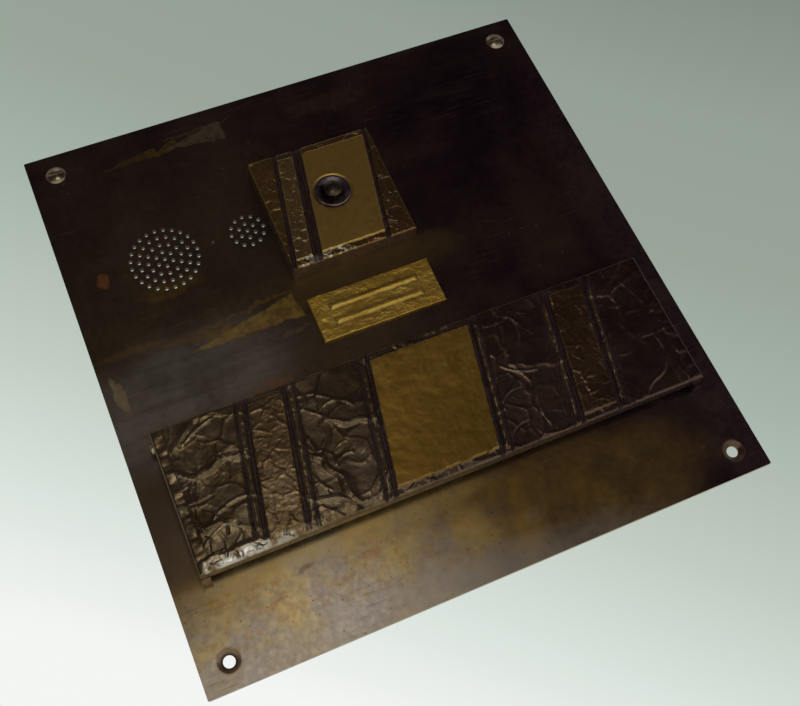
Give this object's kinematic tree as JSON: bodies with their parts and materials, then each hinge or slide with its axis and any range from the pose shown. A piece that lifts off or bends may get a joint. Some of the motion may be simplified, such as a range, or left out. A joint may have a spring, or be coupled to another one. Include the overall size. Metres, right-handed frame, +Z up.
{
  "type": "door letter plate with bell push",
  "caption": "Square cast-bronze door plate with a hinged letter flap, a bell push in a cast block, speech grilles and a name plate, the castings with a plain relief of leaning flats.",
  "frame": {"origin": "centre of the base plate's back face, which lies on the door", "axes": "+X right and +Z up as seen from the street, +Y into the door, the front faces -Y"},
  "size_m": [0.33, 0.0436, 0.34],
  "materials": {
    "bronze_sheet": "dark patinated, satin",
    "bronze_cast": "patinated casting, worn on the high facets",
    "bronze_dark": "dark patinated, satin",
    "brass_rough": "rough casting",
    "brass_old": "dull, turned",
    "nickel_brass": "dull nickelled brass",
    "copper": "bare copper",
    "steel": "zinc plated",
    "rubber": "black rubber",
    "insulator": "brown moulded phenolic"
  },
  "bodies": {
    "plate": {"base_plate": "bronze_sheet", "hinge_lug_right": "bronze_cast", "hinge_lug_left": "bronze_cast", "hinge_pin_right": "brass_old", "hinge_pin_left": "brass_old", "hinge_washers": "brass_old", "lug_screws": "steel", "flap_buffer_right": "rubber", "flap_buffer_left": "rubber", "bell_block": "bronze_cast", "block_screws": "steel", "bell_bezel": "bronze_dark", "bell_ring_nut": "brass_old", "bell_spring": "steel", "bell_carrier": "insulator", "bell_contacts": "brass_old", "terminal_washers": "brass_old", "terminal_nuts": "brass_old", "name_plate": "brass_rough", "name_plate_screws": "steel", "fixing_screw_right": "nickel_brass", "fixing_screw_left": "nickel_brass"},
    "flap": {"letter_flap": "bronze_cast"},
    "button": {"bell_button": "bronze_dark", "bell_bridge": "copper"}
  },
  "joints": [
    {"name": "flap_hinge", "type": "hinge", "parent": "plate", "child": "flap", "pos_m": [0, -0.0105, -0.0375], "axis": [-1, 0, 0], "range_deg": [0, 88]},
    {"name": "bell_press", "type": "slide", "parent": "plate", "child": "button", "axis": [0, 1, 0], "range_m": [0, 0.0015], "stiffness_N_per_m": 600, "springref_m": -0.002, "deforming": ["bell_spring"]}
  ]
}
